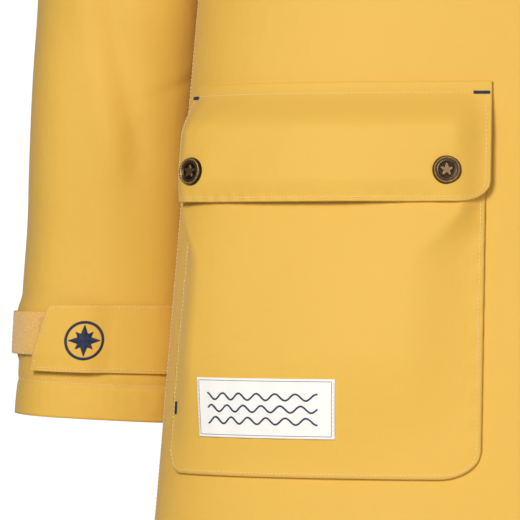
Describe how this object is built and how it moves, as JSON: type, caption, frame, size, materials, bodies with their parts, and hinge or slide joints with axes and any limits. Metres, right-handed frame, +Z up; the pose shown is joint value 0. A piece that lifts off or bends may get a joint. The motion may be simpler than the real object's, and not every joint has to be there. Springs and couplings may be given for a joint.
{
  "type": "foul weather jacket",
  "caption": "Yellow three-quarter-length foul weather jacket with a hood, a zip under a snapped storm flap, bellows patch pockets with snapped flaps and cuff tabs.",
  "frame": {"origin": "middle of the shoulders, at the height where the wearer or a hanger carries the coat", "axes": "+Z up to the hood, -Y out of the front (wearer's front), -X the wearer's right"},
  "size_m": [0.7104, 0.2897, 1.1016],
  "materials": {
    "coated_cloth": "matte coated cloth with a fine plain weave",
    "lining": "smooth woven lining",
    "antique_brass": "antiqued, worn bright on the relief",
    "zip_coil": "moulded nylon",
    "zip_tape": "woven tape",
    "woven_label": "damask woven, slightly shiny",
    "loop_tape": "fuzzy loop pile",
    "hook_tape": "field of small hooks"
  },
  "bodies": {
    "coat_body": {"front_panel_right": "coated_cloth", "front_panel_left": "coated_cloth", "back_panel": "coated_cloth", "front_lining_right": "lining", "front_lining_left": "lining", "back_lining": "lining", "collar_outer": "coated_cloth", "collar_lining": "lining", "zip_tape_right": "zip_tape", "zip_tape_left": "zip_tape", "zip_coil_right": "zip_coil", "zip_coil_left": "zip_coil", "zip_top_stop_right": "antique_brass", "zip_top_stop_left": "antique_brass", "zip_bottom_box": "antique_brass", "patch_pocket_right": "coated_cloth", "patch_pocket_left": "coated_cloth", "pocket_label": "woven_label", "hanger_loop": "coated_cloth", "neck_label": "woven_label", "storm_snap_stud_1": "antique_brass", "storm_snap_stud_2": "antique_brass", "storm_snap_stud_3": "antique_brass", "storm_snap_stud_4": "antique_brass", "pocket_snap_stud_inner_right": "antique_brass", "pocket_snap_stud_inner_left": "antique_brass", "pocket_snap_stud_outer_right": "antique_brass", "pocket_snap_stud_outer_left": "antique_brass"},
    "hood": {"hood_panel_right": "coated_cloth", "hood_panel_left": "coated_cloth", "hood_centre_panel": "coated_cloth", "hood_lining": "lining", "hood_peak": "coated_cloth", "hood_eyelet_right": "antique_brass", "hood_eyelet_left": "antique_brass"},
    "storm_flap": {"storm_flap": "coated_cloth", "storm_snap_cap_1": "antique_brass", "storm_snap_cap_2": "antique_brass", "storm_snap_cap_3": "antique_brass", "storm_snap_cap_4": "antique_brass"},
    "zip_slider": {"zip_slider": "antique_brass"},
    "zip_puller": {"zip_puller": "antique_brass"},
    "pocket_flap_right": {"pocket_flap_right": "coated_cloth", "pocket_snap_cap_inner_right": "antique_brass", "pocket_snap_cap_outer_right": "antique_brass"},
    "sleeve_right": {"upper_sleeve_right": "coated_cloth"},
    "forearm_right": {"forearm_sleeve_right": "coated_cloth", "cuff_loop_strip_right": "loop_tape"},
    "cuff_tab_right": {"cuff_tab_right": "coated_cloth", "cuff_hook_patch_right": "hook_tape"},
    "pocket_flap_left": {"pocket_flap_left": "coated_cloth", "pocket_snap_cap_inner_left": "antique_brass", "pocket_snap_cap_outer_left": "antique_brass"},
    "sleeve_left": {"upper_sleeve_left": "coated_cloth"},
    "forearm_left": {"forearm_sleeve_left": "coated_cloth", "cuff_loop_strip_left": "loop_tape"},
    "cuff_tab_left": {"cuff_tab_left": "coated_cloth", "cuff_hook_patch_left": "hook_tape"}
  },
  "joints": [
    {"name": "hood_fold", "type": "hinge", "parent": "coat_body", "child": "hood", "pos_m": [0, 0.074, 0.014], "axis": [-1, 0, 0], "range_deg": [0, 40]},
    {"name": "storm_flap_hinge", "type": "hinge", "parent": "coat_body", "child": "storm_flap", "pos_m": [-0.035, -0.11414, -0.415], "axis": [0, -0.0905, -0.9959], "range_deg": [0, 95]},
    {"name": "zip_slide", "type": "slide", "parent": "coat_body", "child": "zip_slider", "axis": [0, -0.0905, -0.9959], "range_m": [0, 0.69]},
    {"name": "puller_swing", "type": "hinge", "parent": "zip_slider", "child": "zip_puller", "pos_m": [0, -0.08109, -0.068], "axis": [-1, 0, 0], "range_deg": [0, 18]},
    {"name": "pocket_flap_hinge_right", "type": "hinge", "parent": "coat_body", "child": "pocket_flap_right", "pos_m": [-0.17322, -0.10104, -0.459], "axis": [-0.9465, 0.3228, 0], "range_deg": [0, 105]},
    {"name": "shoulder_lift_right", "type": "hinge", "parent": "coat_body", "child": "sleeve_right", "pos_m": [-0.2275, 0.008, -0.0295], "axis": [0, 1, 0], "range_deg": [0, 20]},
    {"name": "elbow_bend_right", "type": "hinge", "parent": "sleeve_right", "child": "forearm_right", "pos_m": [-0.32033, 0.00081, -0.41], "axis": [-0.7682, 0.6402, 0], "range_deg": [0, 90]},
    {"name": "cuff_tab_hinge_right", "type": "hinge", "parent": "forearm_right", "child": "cuff_tab_right", "pos_m": [-0.29061, -0.00013, -0.626], "axis": [0.0563, -0.0113, 0.9984], "range_deg": [0, 95]},
    {"name": "pocket_flap_hinge_left", "type": "hinge", "parent": "coat_body", "child": "pocket_flap_left", "pos_m": [0.17322, -0.10104, -0.459], "axis": [-0.9465, -0.3228, 0], "range_deg": [0, 105]},
    {"name": "shoulder_lift_left", "type": "hinge", "parent": "coat_body", "child": "sleeve_left", "pos_m": [0.2275, 0.008, -0.0295], "axis": [0, -1, 0], "range_deg": [0, 20]},
    {"name": "elbow_bend_left", "type": "hinge", "parent": "sleeve_left", "child": "forearm_left", "pos_m": [0.32033, 0.00081, -0.41], "axis": [-0.7682, -0.6402, 0], "range_deg": [0, 90]},
    {"name": "cuff_tab_hinge_left", "type": "hinge", "parent": "forearm_left", "child": "cuff_tab_left", "pos_m": [0.29061, -0.00013, -0.626], "axis": [0.0563, 0.0113, -0.9984], "range_deg": [0, 95]}
  ]
}
